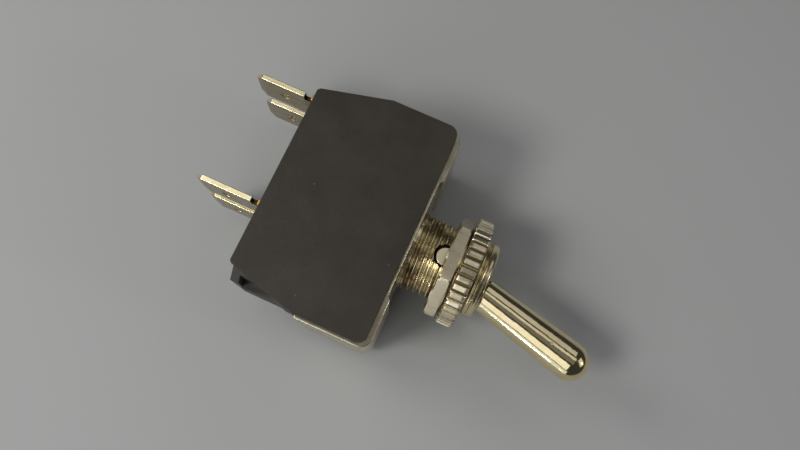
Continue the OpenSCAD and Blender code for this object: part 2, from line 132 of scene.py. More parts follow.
class Tree:
    """A material's node tree, with short methods for the nodes that the finishes share."""

    def __init__(self, name: str) -> None:
        """Starts an empty material.

        Args:
            name: name of the new material.
        """
        self.material = bpy.data.materials.new(name)
        self.material.use_nodes = True
        self.nodes = self.material.node_tree.nodes
        self.links = self.material.node_tree.links
        self.nodes.clear()
        self.shader = self.nodes.new("ShaderNodeBsdfPrincipled")
        output = self.nodes.new("ShaderNodeOutputMaterial")
        self.links.new(self.shader.outputs["BSDF"], output.inputs["Surface"])
        coordinates = self.nodes.new("ShaderNodeTexCoord")
        self.place = coordinates.outputs["Object"]
        self.normal = coordinates.outputs["Normal"]

    def put(self, socket: Socket, value: Value) -> None:
        """Links an output to a socket, or sets the socket's own value.

        Args:
            socket: the input to feed.
            value: an output socket, a number or a colour.
        """
        if isinstance(value, Socket):
            self.links.new(value, socket)
        else:
            socket.default_value = value

    def mapping(self, scale: Triple) -> Socket:
        """Object coordinates, stretched.

        Args:
            scale: factor along each axis.

        Returns:
            The mapped vector.
        """
        node = self.nodes.new("ShaderNodeMapping")
        self.put(node.inputs["Vector"], self.place)
        self.put(node.inputs["Scale"], scale)
        return node.outputs["Vector"]

    def noise(self, scale: float, detail: float, roughness: float,
              vector: Socket | None = None) -> Socket:
        """Fractal noise.

        Args:
            scale: features per metre, before any mapping.
            detail: number of octaves.
            roughness: weight of the finer octaves.
            vector: where to read the noise, or None for Object coordinates.

        Returns:
            The noise value, about 0.5 on average.
        """
        node = self.nodes.new(Texture.NOISE.value)
        self.put(node.inputs["Vector"], vector or self.place)
        self.put(node.inputs["Scale"], scale)
        self.put(node.inputs["Detail"], detail)
        self.put(node.inputs["Roughness"], roughness)
        return node.outputs["Fac"]

    def specks(self, scale: float, size: float, soft: float = 0.04) -> Socket:
        """Small round specks, one in each cell of a Voronoi pattern.

        Args:
            scale: cells per metre.
            size: radius of a speck as a share of a cell.
            soft: width of its edge as a share of a cell.

        Returns:
            1 inside a speck and 0 outside.
        """
        node = self.nodes.new(Texture.VORONOI.value)
        self.put(node.inputs["Vector"], self.place)
        self.put(node.inputs["Scale"], scale)
        return self.spread(node.outputs["Distance"], size + soft, size)

    def spread(self, value: Socket, low: float, high: float, to_low: float = 0.0,
               to_high: float = 1.0) -> Socket:
        """A clamped change of range.

        Args:
            value: the number to change.
            low: where the result is to_low.
            high: where the result is to_high.
            to_low: the first result.
            to_high: the second result.

        Returns:
            The new number.
        """
        node = self.nodes.new("ShaderNodeMapRange")
        self.put(node.inputs["Value"], value)
        for name, number in (("From Min", low), ("From Max", high),
                             ("To Min", to_low), ("To Max", to_high)):
            self.put(node.inputs[name], number)
        return node.outputs["Result"]

    def calc(self, step: Maths, a: Value, b: Value = 0.0) -> Socket:
        """One step of arithmetic.

        Args:
            step: what is done.
            a: first number.
            b: second number.

        Returns:
            The result.
        """
        node = self.nodes.new("ShaderNodeMath")
        node.operation = step.value
        self.put(node.inputs[0], a)
        self.put(node.inputs[1], b)
        return node.outputs[0]

    def add(self, a: Value, b: Value) -> Socket:
        """The sum of two numbers."""
        return self.calc(Maths.ADD, a, b)

    def multiply(self, a: Value, b: Value) -> Socket:
        """The product of two numbers."""
        return self.calc(Maths.MULTIPLY, a, b)

    def length(self, a: Value, b: Value) -> Socket:
        """The length of a plane vector: the root of the sum of its parts' squares."""
        squares = (self.calc(Maths.POWER, part, 2.0) for part in (a, b))
        return self.calc(Maths.SQRT, self.add(*squares))

    def blend(self, factor: Socket, a: Value, b: Value) -> Socket:
        """A mix of two colours.

        Args:
            factor: 0 for a and 1 for b.
            a: first colour.
            b: second colour.

        Returns:
            The mixed colour.
        """
        node = self.nodes.new("ShaderNodeMix")
        node.data_type = "RGBA"
        self.put(node.inputs[0], factor)
        self.put(node.inputs[6], rgba(a))
        self.put(node.inputs[7], rgba(b))
        return node.outputs[2]

    def part(self, axis: Axis, vector: Socket | None = None) -> Socket:
        """One part of a vector.

        Args:
            axis: the part to take.
            vector: the vector, or None for Object coordinates.

        Returns:
            That part, in metres for Object coordinates.
        """
        node = self.nodes.new("ShaderNodeSeparateXYZ")
        self.put(node.inputs[0], vector or self.place)
        return node.outputs[axis.value]

    def facing(self, axis: Axis) -> Socket:
        """1 where the surface lies square to an axis, and 0 where it runs along it."""
        return self.calc(Maths.ABSOLUTE, self.part(axis, self.normal))

    def radius(self) -> Socket:
        """Distance from the bushing's axis, in metres."""
        return self.length(self.part(Axis.Y), self.part(Axis.Z))

    def bump(self, height: Socket, distance: float, strength: float,
             under: Socket | None = None) -> Socket:
        """A bump from a height, over an earlier bump if there is one.

        Args:
            height: height of the surface, from 0 to 1.
            distance: real height of a value of 1, in metres.
            strength: share of the bump that shows.
            under: normal of an earlier bump.

        Returns:
            The bumped normal.
        """
        node = self.nodes.new("ShaderNodeBump")
        self.put(node.inputs["Height"], height)
        self.put(node.inputs["Distance"], distance)
        self.put(node.inputs["Strength"], strength)
        if under is not None:
            self.put(node.inputs["Normal"], under)
        return node.outputs["Normal"]

    def finish(self, color: Value, roughness: Value, metallic: float = 0.0,
               normal: Socket | None = None) -> bpy.types.Material:
        """Feeds the shader and returns the material.

        Args:
            color: base colour.
            roughness: roughness.
            metallic: 1 for bare or plated metal.
            normal: bumped normal, if any.

        Returns:
            The finished material.
        """
        self.put(self.shader.inputs["Base Color"], rgba(color))
        self.put(self.shader.inputs["Roughness"], roughness)
        self.put(self.shader.inputs["Metallic"], metallic)
        if normal is not None:
            self.put(self.shader.inputs["Normal"], normal)
        return self.material


def rgba(color: Value) -> Value:
    """A colour of three numbers gets an alpha of 1, and a socket stays as it is."""
    return (*color, 1.0) if isinstance(color, tuple) else color


# ---------------------------------------------------------------- finishes


@dataclass(frozen=True)
class MouldedFinish:
    """Matt moulding with mottling, fine grain, and a few warm and pale specks."""

    name: str
    dark: Triple
    light: Triple
    pale_speck: Triple = (0.22, 0.19, 0.16)
    roughness: float = 0.52
    warm_speck: Triple = (0.16, 0.06, 0.035)
    cloud_scale: float = 140.0
    grain_scale: float = 2600.0
    rub_scale: float = 420.0
    warm_scale: float = 1500.0
    pale_scale: float = 320.0
    grain_height: float = 0.035 * MM
    rub_height: float = 0.05 * MM

    def build(self) -> bpy.types.Material:
        """Builds the material.

        Returns:
            The new material.
        """
        tree = Tree(self.name)
        cloud = tree.noise(self.cloud_scale, 5.0, 0.62)
        grain = tree.noise(self.grain_scale, 3.0, 0.7)
        rubbed = tree.noise(self.rub_scale, 6.0, 0.7)
        color = tree.blend(tree.spread(cloud, 0.35, 0.68), self.dark, self.light)
        warm = tree.multiply(tree.specks(self.warm_scale, 0.09), 0.22)
        color = tree.blend(warm, color, self.warm_speck)
        pale = tree.multiply(tree.specks(self.pale_scale, 0.018, 0.02), 0.7)
        color = tree.blend(pale, color, self.pale_speck)
        rough = tree.spread(rubbed, 0.3, 0.75, self.roughness - 0.07, self.roughness + 0.12)
        normal = tree.bump(grain, self.grain_height, 0.55)
        normal = tree.bump(rubbed, self.rub_height, 0.3, normal)
        return tree.finish(color, rough, 0.0, normal)


@dataclass(frozen=True)
class PlatedFinish:
    """Nickel plate over metal, with drawn marks, clouded roughness and small pits. Where the pair
    of gap radii is given, painted shade darkens what lies between those two distances from the
    bushing's axis, darkest at the first, on what doesn't face along X: the gaps between teeth."""

    name: str
    color: Triple
    shade: Triple
    roughness: float = 0.25
    drawn: Triple = (1.0, 1.0, 1.0)
    pits: float = 0.25
    grain: float = 0.012 * MM
    # Radii between which the gaps get painted shade, and the colour of that painted shade.
    shade_radii: tuple[float, float] | None = None
    recess_shade: Triple = (0.38, 0.31, 0.19)
    pit_color: Triple = (0.16, 0.11, 0.06)
    cloud_scale: float = 260.0
    mark_scale: float = 900.0
    pit_scale: float = 1400.0

    def build(self) -> bpy.types.Material:
        """Builds the material.

        Returns:
            The new material.
        """
        tree = Tree(self.name)
        cloud = tree.noise(self.cloud_scale, 5.0, 0.6)
        marks = tree.noise(self.mark_scale, 4.0, 0.65, tree.mapping(self.drawn))
        color = tree.blend(tree.spread(cloud, 0.38, 0.7), self.color, self.shade)
        pit = tree.multiply(tree.specks(self.pit_scale, 0.05), self.pits)
        color = tree.blend(pit, color, self.pit_color)
        # Painted shade: what lies below the outer radius and faces across X, the gaps between
        # teeth, is darkened.
        if self.shade_radii:
            deep = tree.spread(tree.radius(), *self.shade_radii, 1.0, 0.0)
            across = tree.spread(tree.facing(Axis.X), 0.5, 0.9, 1.0, 0.0)
            color = tree.blend(tree.multiply(deep, across), color, self.recess_shade)
        brushed = tree.spread(marks, 0.3, 0.75, self.roughness - 0.05, self.roughness + 0.08)
        rough = tree.add(brushed, tree.spread(cloud, 0.4, 0.75, 0.0, 0.07))
        return tree.finish(color, rough, 1.0, tree.bump(marks, self.grain, 0.6))


@dataclass(frozen=True)
class ThreadFinish:
    """Nickel plate on the bushing: painted shade darkens the thread's grooves in clouded patches,
    so the crests stay bright; brown stains lie near the bracket; and near-black painted shade fills
    the seat round the pin's end."""

    name: str
    plate: Triple = (0.82, 0.72, 0.47)
    stain: Triple = (0.20, 0.11, 0.04)
    # Colour of the painted shade in the thread's grooves.
    groove: Triple = (0.44, 0.34, 0.16)
    # Colour of the near-black painted shade in the pin's seat.
    recess_shade: Triple = (0.025, 0.018, 0.010)
    pin_x: float = 4.55 * MM
    seat_r: float = 1.75 * MM
    seat_edge: float = 0.03 * MM
    crest_r: float = 6.0 * MM
    crest_band: float = 0.1 * MM
    root_r: float = 5.5 * MM
    stain_end: float = 5.0 * MM
    cloud_scale: float = 330.0
    grain_scale: float = 1700.0
    grain_height: float = 0.005 * MM

    def build(self) -> bpy.types.Material:
        """Builds the material.

        Returns:
            The new material.
        """
        tree = Tree(self.name)
        # Painted shade: the thread's grooves are darkened by their depth, more in some clouded
        # patches than others.
        depth = tree.spread(tree.radius(), self.crest_r - self.crest_band, self.root_r)
        cloud = tree.noise(self.cloud_scale, 5.0, 0.65)
        fine = tree.noise(self.grain_scale, 4.0, 0.7)
        painted_shade_mask = tree.multiply(depth, tree.spread(cloud, 0.3, 0.7, 0.25, 0.85))
        color = tree.blend(painted_shade_mask, self.plate, self.groove)
        near = tree.spread(tree.part(Axis.X), self.stain_end, 0.0)
        patch = tree.spread(tree.add(cloud, tree.multiply(near, 0.16)), 0.6, 0.72)
        patch = tree.multiply(patch, tree.spread(near, 0.0, 0.4))
        color = tree.blend(tree.multiply(patch, 0.85), color, self.stain)
        # Painted shade: the seat round the pin's end is made near black.
        along = tree.calc(Maths.SUBTRACT, tree.part(Axis.X), self.pin_x)
        from_pin = tree.length(along, tree.part(Axis.Y))
        seat = tree.spread(from_pin, self.seat_r + self.seat_edge, self.seat_r)
        color = tree.blend(seat, color, self.recess_shade)
        rough = tree.add(tree.spread(fine, 0.3, 0.75, 0.17, 0.32), tree.multiply(patch, 0.25))
        rough = tree.add(rough, tree.multiply(seat, 0.5))
        return tree.finish(color, rough, 1.0, tree.bump(fine, self.grain_height, 0.5))


@dataclass(frozen=True)
class PolishedFinish:
    """Bright polished plate with a faint ripple, handling marks and a few tiny nicks."""

    name: str
    color: Triple = (0.90, 0.78, 0.49)
    shade: Triple = (0.78, 0.64, 0.34)
    roughness: float = 0.10
    cloud_scale: float = 300.0
    rub_scale: float = 1200.0
    nick_scale: float = 330.0
    ripple_scale: float = 330.0
    ripple_height: float = 0.10 * MM
    rub_height: float = 0.006 * MM
    nick_depth: float = 0.02 * MM

    def build(self) -> bpy.types.Material:
        """Builds the material.

        Returns:
            The new material.
        """
        tree = Tree(self.name)
        cloud = tree.noise(self.cloud_scale, 5.0, 0.6)
        rubbed = tree.noise(self.rub_scale, 4.0, 0.7, tree.mapping((0.25, 1.0, 1.0)))
        nick = tree.specks(self.nick_scale, 0.05, 0.03)
        color = tree.blend(tree.spread(cloud, 0.42, 0.75), self.color, self.shade)
        worn = tree.spread(rubbed, 0.42, 0.78, self.roughness - 0.02, self.roughness + 0.1)
        rough = tree.add(worn, tree.multiply(nick, 0.3))
        normal = tree.bump(tree.noise(self.ripple_scale, 3.0, 0.5), self.ripple_height, 0.6)
        normal = tree.bump(rubbed, self.rub_height, 0.35, normal)
        normal = tree.bump(tree.calc(Maths.SUBTRACT, 1.0, nick), self.nick_depth, 0.6, normal)
        return tree.finish(color, rough, 1.0, normal)


@dataclass(frozen=True)
class BladeFinish:
    """Tinned brass blade: painted shade darkens its broad faces, in streaks, so that its edges stay
    bright; it is bare where it enters the housing, and a band of painted shade darkens its edges
    just outside that."""

    name: str
    tin: Triple = (0.93, 0.83, 0.56)
    bare: Triple = (0.78, 0.42, 0.13)
    olive: Triple = (0.80, 0.68, 0.36)
    # Colour of the painted shade on the broad faces.
    broad_face_shade: Triple = (0.36, 0.31, 0.19)
    # Colour of the painted shade in a band on the edges.
    notch_shade: Triple = (0.05, 0.035, 0.015)
    notch_start: float = -24.05 * MM
    notch_end: float = -23.05 * MM
    fade: float = 0.08 * MM
    cloud_scale: float = 420.0
    mark_scale: float = 1300.0
    mark_height: float = 0.012 * MM

    def build(self) -> bpy.types.Material:
        """Builds the material.

        Returns:
            The new material.
        """
        tree = Tree(self.name)
        cloud = tree.noise(self.cloud_scale, 5.0, 0.65)
        marks = tree.noise(self.mark_scale, 4.0, 0.7, tree.mapping((0.3, 1.0, 1.0)))
        color = tree.blend(tree.spread(cloud, 0.4, 0.66), self.tin, self.olive)
        # Painted shade: faces that look along Y, the broad faces, are darkened, with streaks.
        broad = tree.facing(Axis.Y)
        painted_shade_mask = tree.multiply(tree.spread(broad, 0.6, 0.9), tree.spread(marks, 0.3, 0.6, 0.8, 1.0))
        color = tree.blend(painted_shade_mask, color, self.broad_face_shade)
        waver = tree.multiply(tree.calc(Maths.SUBTRACT, cloud, 0.5), self.fade)
        x = tree.add(tree.part(Axis.X), waver)
        root = tree.spread(x, self.notch_end - self.fade, self.notch_end)
        behind = tree.spread(x, self.notch_start - self.fade, self.notch_start)
        on_edge = tree.spread(broad, 0.5, 0.9, 1.0, 0.3)
        color = tree.blend(tree.multiply(root, on_edge), color, self.bare)
        # Painted shade: a near-black band on the edges, between the two limits, just beyond the
        # bare root.
        notch_shade = tree.calc(Maths.SUBTRACT, behind, root)
        color = tree.blend(tree.multiply(notch_shade, on_edge), color, self.notch_shade)
        rough = tree.add(tree.spread(marks, 0.3, 0.75, 0.16, 0.34), tree.multiply(root, 0.12))
        return tree.finish(color, rough, 1.0, tree.bump(marks, self.mark_height, 0.6))


# ---------------------------------------------------------------- shapes


def mesh_object(name: str, verts: np.ndarray, faces: np.ndarray) -> bpy.types.Object:
    """An object from arrays, with doubles merged and empty faces removed.

    Args:
        name: name of the piece.
        verts: array of n points.
        faces: array of m quads, as point numbers.

    Returns:
        The new object, at the origin.
    """
    mesh = bpy.data.meshes.new(name)
    mesh.from_pydata(verts.tolist(), [], faces.tolist())
    work = bmesh.new()
    work.from_mesh(mesh)
    bmesh.ops.remove_doubles(work, verts=work.verts, dist=MERGE)
    bmesh.ops.dissolve_degenerate(work, edges=work.edges, dist=MERGE)
    bmesh.ops.recalc_face_normals(work, faces=work.faces)
    work.to_mesh(mesh)
    work.free()
    piece = bpy.data.objects.new(name, mesh)
    bpy.context.scene.collection.objects.link(piece)
    return piece


def grid_faces(rows: int, columns: int, close_rows: bool = False, step: int = 0) -> np.ndarray:
    """Quads between neighbours of a grid whose last column meets its first.

    Args:
        rows: number of rows.
        columns: number of columns.
        close_rows: whether the last row meets the first too.
        step: how many rows further on the first column is when the last meets it, as on a helix.

    Returns:
        Array of quads, as point numbers of a grid stored row by row.
    """
    row, column = np.meshgrid(np.arange(rows if close_rows else rows - 1), np.arange(columns),
                              indexing="ij")
    wrap = column == columns - 1
    right = np.where(wrap, 0, column + 1)
    here = row * columns + column
    above = (row + 1) % rows * columns + column
    shifted = row + np.where(wrap, step, 0)
    right_here = shifted % rows * columns + right
    right_above = (shifted + 1) % rows * columns + right
    keep = np.ones_like(wrap) if close_rows else shifted + 1 < rows
    return np.stack([here, right_here, right_above, above], -1)[keep]


def turned(profile: np.ndarray, columns: int, radius_at: RadiusLaw | None = None) -> np.ndarray:
    """A surface of revolution about X. The point for profile row i and angle a is
    (x_i, r cos a, r sin a), where r is the row's radius r_i, or radius_at(x_i, r_i, a).

    Args:
        profile: rows of x and radius.
        columns: number of steps round the axis.
        radius_at: optional function of arrays x, r and angle that gives the radius.

    Returns:
        Points, stored row by row.
    """
    angle = np.arange(columns) * 2 * np.pi / columns
    x, a = np.meshgrid(profile[:, 0], angle, indexing="ij")
    r = np.repeat(profile[:, 1][:, None], columns, 1)
    if radius_at is not None:
        r = radius_at(x, r, a)
    return np.stack([x, r * np.cos(a), r * np.sin(a)], -1).reshape(-1, 3)


def refine(points: Outline, longest: float) -> np.ndarray:
    """A polyline with its long stretches cut up evenly.

    Args:
        points: corners of the line.
        longest: the longest stretch that stays whole.

    Returns:
        The corners and the points between them.
    """
    corners = np.array(points)
    pieces = []
    for start, end in zip(corners[:-1], corners[1:]):
        count = max(1, math.ceil(np.linalg.norm(end - start) / longest))
        pieces.append(start + (end - start) * np.arange(count)[:, None] / count)
    return np.vstack([*pieces, corners[-1:]])


def arc(x: float, r: float, radius: float, start: float, end: float, count: int = 9) -> Outline:
    """Points on a circle in the plane of x and radius.

    Args:
        x: centre along X.
        r: centre's distance from the axis.
        radius: the circle's radius.
        start: first angle from +X towards the outside, in degrees.
        end: last angle.
        count: number of points.

    Returns:
        The points in order.
    """
    angles = np.radians(np.linspace(start, end, count))
    return list(zip(x + radius * np.cos(angles), r + radius * np.sin(angles)))


def smooth(piece: bpy.types.Object, sharp_deg: float = 35.0) -> None:
    """Shades a piece smooth, with edges sharper than an angle left crisp.

    Args:
        piece: the object to shade.
        sharp_deg: the angle, in degrees.
    """
    piece.data.shade_smooth()
    piece.data.set_sharp_from_angle(angle=math.radians(sharp_deg))


def carve(piece: bpy.types.Object, cutter: bpy.types.Object) -> None:
    """Cuts one closed mesh out of another and deletes the cutter.

    Args:
        piece: the object to cut.
        cutter: the object that is taken away.
    """
    cut = piece.modifiers.new("cut", "BOOLEAN")
    cut.operation = "DIFFERENCE"
    cut.solver = "EXACT"
    cut.object = cutter
    graph = bpy.context.evaluated_depsgraph_get()
    carved = bpy.data.meshes.new_from_object(piece.evaluated_get(graph))
    piece.modifiers.clear()
    old = piece.data
    piece.data = carved
    bpy.data.meshes.remove(old)
    bpy.data.objects.remove(cutter)


def dress(piece: bpy.types.Object, material: bpy.types.Material, body: Body,
          node: str) -> None:
    """Gives a new piece its material and body, and hides the CAD node it stands for.

    Args:
        piece: the new piece.
        material: its material.
        body: the CAD body that it rides on.
        node: the CAD node that it replaces.
    """
    piece.data.materials.clear()
    piece.data.materials.append(material)
    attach(piece, body.value)
    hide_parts(node)
    LOG.info("%s: %d faces", piece.name, len(piece.data.polygons))


def paint(node: str, material: bpy.types.Material) -> None:
    """Gives a CAD node a new material.

    Args:
        node: the node's name.
        material: the material.
    """
    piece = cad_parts[node]
    piece.data.materials.clear()
    piece.data.materials.append(material)
    LOG.info("%s keeps its CAD mesh", node)


def softened(node: str, name: str, width: float, segments: int = 2,
             reshape: tuple[Reshape, ...] = ()) -> bpy.types.Object:
    """A merged copy of a CAD node with its sharp edges broken by a small bevel.

    Args:
        node: the node to copy.
        name: the new piece's name.
        width: width of the bevel, in metres.
        segments: number of faces across the bevel.
        reshape: functions that move the array of the copy's points in place, before the bevel.

    Returns:
        The new piece.
    """
    piece = bpy.data.objects.new(name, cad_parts[node].data.copy())
    bpy.context.scene.collection.objects.link(piece)
    points = np.empty(len(piece.data.vertices) * 3)
    piece.data.vertices.foreach_get("co", points)
    points = points.reshape(-1, 3)
    for change in reshape:
        change(points)
    piece.data.vertices.foreach_set("co", points.ravel())
    work = bmesh.new()
    work.from_mesh(piece.data)
    bmesh.ops.remove_doubles(work, verts=work.verts, dist=COPY_MERGE)
    bmesh.ops.dissolve_degenerate(work, edges=work.edges, dist=COPY_MERGE)
    bmesh.ops.dissolve_limit(work, angle_limit=math.radians(FLAT_DEG), verts=work.verts,
                             edges=work.edges)
    work.to_mesh(piece.data)
    work.free()
    bevel = piece.modifiers.new("edge", "BEVEL")
    bevel.width = width
    bevel.segments = segments
    bevel.limit_method = "ANGLE"
    bevel.angle_limit = math.radians(SHARP_DEG)
    bevel.harden_normals = True
    bevel.miter_outer = "MITER_ARC"
    smooth(piece)
    return piece


# ---------------------------------------------------------------- sub-assemblies


@dataclass
class Housing:
    """The moulded housing and the base that closes its back."""

    edge: float = 0.16 * MM
    base_edge: float = 0.096 * MM
    step: float = 0.25 * MM
    corner_r: float = 2.0 * MM
    tight_r: float = 1.5 * MM
    cheek_inside: float = 7.9 * MM
    level_slack: float = 0.03 * MM
    touch: float = 0.02 * MM
    round_slack: float = 0.001 * MM
    moulding: MouldedFinish = MouldedFinish(
        "black_moulding", (0.024, 0.0195, 0.0130), (0.039, 0.0315, 0.0210))
    base: MouldedFinish = MouldedFinish(
        "base_moulding", (0.028, 0.025, 0.021), (0.046, 0.041, 0.034), roughness=0.42)

    def fill_step(self, points: np.ndarray) -> None:
        """Turns the small step round both broad faces into a plain edge: the face's own outline and
        the step's inner line move out to the nearest point of its outer line, level with the face.

        Args:
            points: the mesh's points, changed in place.
        """
        top = np.abs(points[:, 2]).max()
        for side in Side:
            height = points[:, 2] * side.value
            face = np.flatnonzero(height > top - self.step * 0.5)
            shelf = np.flatnonzero(np.abs(height - top + self.step) < self.level_slack)
            offset = points[shelf, None, :2] - points[None, face, :2]
            gap = np.linalg.norm(offset, axis=-1).min(axis=1)
            inner, outer = shelf[gap < self.touch], shelf[gap >= self.touch]
            for group in (face, inner):
                offset = points[group, None, :2] - points[None, outer, :2]
                away = np.linalg.norm(offset, axis=-1)
                near = away.min(axis=1) < 2.0 * self.step
                points[group[near], :2] = points[outer[away.argmin(axis=1)[near]], :2]
            points[shelf, 2] = side.value * top

    def tighten(self, points: np.ndarray) -> None:
        """Shrinks the round of the two front corners of both cheeks. A point p on the round moves
        to c' + (p - c) tight_r / corner_r, where c and c' are the wide and the tight round's
        centres.

        Args:
            points: the mesh's points, changed in place.
        """
        cheek = np.abs(points[:, 2]) > self.cheek_inside
        front, end = points[cheek, 0].max(), np.abs(points[cheek, 1]).max()
        shift = self.corner_r - self.tight_r
        for side in Side:
            outwards = np.array([1.0, side.value])
            centre = np.array([front, side.value * end]) - self.corner_r * outwards
            away = (points[:, :2] - centre) * outwards
            on_round = cheek & (away.min(axis=1) > -self.round_slack)
            spoke = (points[on_round, :2] - centre) * self.tight_r / self.corner_r
            points[on_round, :2] = centre + shift * outwards + spoke

    def build(self) -> None:
        """Builds the two mouldings."""
        housing = softened("housing", "housing_moulding", self.edge,
                           reshape=(self.fill_step, self.tighten))
        dress(housing, self.moulding.build(), Body.SWITCH, "housing")
        base = softened("terminal_base", "terminal_base_moulding", self.base_edge)
        dress(base, self.base.build(), Body.SWITCH, "terminal_base")


@dataclass
class Bracket:
    """The bent metal strip over the housing's front and ends."""

    edge: float = 0.18 * MM
    edge_faces: int = 3
    plate: PlatedFinish = PlatedFinish(
        "bracket_plate", (0.70, 0.64, 0.49), (0.54, 0.46, 0.31), roughness=0.27,
        drawn=(1.0, 0.15, 1.0), pits=0.4)

    def build(self) -> None:
        """Builds the bracket."""
        strip = softened("bracket", "bracket_strip", self.edge, self.edge_faces)
        dress(strip, self.plate.build(), Body.SWITCH, "bracket")


@dataclass
class Bushing:
    """The threaded bushing with its true helical thread, and the pivot pin across it."""

    pitch: float = 1.0 * MM
    crest_r: float = 6.0 * MM
    thread_depth: float = 0.5 * MM
    crest_share: float = 0.125
    flank_share: float = 0.625
    thread_start: float = -0.3 * MM
    thread_end: float = 10.6 * MM
    fade: float = 0.5 * MM
    rows_per_pitch: int = 12
    columns: int = 192
    longest: float = 0.8 * MM
    bore_r: float = 4.1 * MM
    mouth_r: float = 4.9 * MM
    mouth_depth: float = 2.3 * MM
    mouth_cone: float = 1.0 * MM
    mouth_round: float = 0.2 * MM
    stake_r: float = 7.0 * MM
    sheet_back: float = -1.52 * MM
    rim_round: float = 0.55 * MM
    rim_chamfer: float = 0.15 * MM
    rim_inset: float = 0.12 * MM
    pin_x: float = 4.55 * MM
    pin_r: float = 1.46 * MM
    pin_edge: float = 0.05 * MM
    seat_r: float = 1.75 * MM
    seat_floor: float = 5.3 * MM
    cut_past: float = 2.0 * MM
    cutter_sides: int = 64
    crisp_deg: float = 40.0
    plate: ThreadFinish = ThreadFinish("bushing_thread_plate")
    pin: PlatedFinish = PlatedFinish(
        "pin_end", (0.92, 0.83, 0.58), (0.82, 0.72, 0.48), roughness=0.30)

    def groove(self, turns: np.ndarray) -> np.ndarray:
        """Depth of the thread, from 0 on the crest to 1 in the root: flat over the crest's eighth
        and the root's quarter of a pitch, with flanks between them that are half straight and half
        a smooth step.

        Args:
            turns: place along the thread, in pitches.

        Returns:
            The share of the full depth.
        """
        away = np.abs((turns + 0.5) % 1.0 - 0.5) * 2.0
        flank = np.clip((away - self.crest_share) / self.flank_share, 0.0, 1.0)
        return flank * flank * (3.0 - 2.0 * flank) * 0.5 + flank * 0.5

    def thread(self) -> tuple[np.ndarray, np.ndarray]:
        """The threaded wall, on a grid whose rows run along the helix: the point for row v and
        angle a is at x = start + pitch (v + a / 2 pi), held between the thread's ends, where the
        groove fades.

        Returns:
            Its points and its quads.
        """
        pitches = math.ceil((self.thread_end - self.thread_start) / self.pitch + 1)
        rows = pitches * self.rows_per_pitch + 1
        share = np.arange(self.columns) / self.columns
        v, u = np.meshgrid(np.arange(rows) / self.rows_per_pitch - 1.0, share, indexing="ij")
        x = self.thread_start + self.pitch * (v + u)
        x = np.clip(x, self.thread_start, self.thread_end)
        ends = np.minimum(x - self.thread_start, self.thread_end - x) / self.fade
        r = self.crest_r - self.thread_depth * self.groove(v) * np.clip(ends, 0.0, 1.0)
        a = 2.0 * np.pi * u
        verts = np.stack([x, r * np.cos(a), r * np.sin(a)], -1).reshape(-1, 3)
        return verts, grid_faces(rows, self.columns, step=self.rows_per_pitch)

    def plain(self) -> tuple[np.ndarray, np.ndarray]:
        """The rest of the bushing, turned about X: rim, mouth, bore, staked flange and the step
        behind the thread.

        Returns:
            Its points and its quads.
        """
        low, high = (c.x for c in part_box("bushing"))
        rim, lip = self.rim_round, self.mouth_round
        rim_r = self.crest_r - self.rim_inset
        cone = high - self.mouth_depth
        points = [(self.thread_end, self.crest_r), (self.thread_end + self.rim_chamfer, rim_r),
                  *arc(high - rim, rim_r - rim, rim, 90, 0),
                  *arc(high - lip, self.mouth_r + lip, lip, 0, -90, 5),
                  (cone, self.mouth_r), (cone - self.mouth_cone, self.bore_r), (low, self.bore_r),
                  (low, self.stake_r), (self.sheet_back, self.stake_r),
                  (self.sheet_back, self.crest_r), (self.thread_start, self.crest_r)]
        profile = refine(points, self.longest)
        return turned(profile, self.columns), grid_faces(len(profile), self.columns)

    def round_bar(self, name: str, radius: float, low: float, high: float) -> bpy.types.Object:
        """A closed bar along Z through the pin's axis, used as a cutter.

        Args:
            name: the cutter's name.
            radius: its radius.
            low: its lower end.
            high: its upper end.

        Returns:
            The bar.
        """
        profile = np.array([(low, 0.0), (low, radius), (high, radius), (high, 0.0)])
        verts = turned(profile, self.cutter_sides)
        verts = np.stack([self.pin_x + verts[:, 2], verts[:, 1], verts[:, 0]], -1)
        return mesh_object(name, verts, grid_faces(len(profile), self.cutter_sides))

    def build(self) -> None:
        """Builds the bushing, cuts the pin's seat through it and finishes the pin."""
        thread, thread_faces = self.thread()
        plain, plain_faces = self.plain()
        piece = mesh_object("bushing_threaded", np.vstack([thread, plain]),
                            np.vstack([thread_faces, plain_faces + len(thread)]))
        reach = self.crest_r + self.cut_past
        carve(piece, self.round_bar("pin_hole", self.pin_r, -reach, reach))
        for side in Side:
            ends = sorted((side.value * self.seat_floor, side.value * reach))
            carve(piece, self.round_bar("pin_seat", self.seat_r, *ends))
        smooth(piece, self.crisp_deg)
        dress(piece, self.plate.build(), Body.SWITCH, "bushing")
        pin = softened("pivot_pin", "pivot_pin_turned", self.pin_edge)
        dress(pin, self.pin.build(), Body.SWITCH, "pivot_pin")


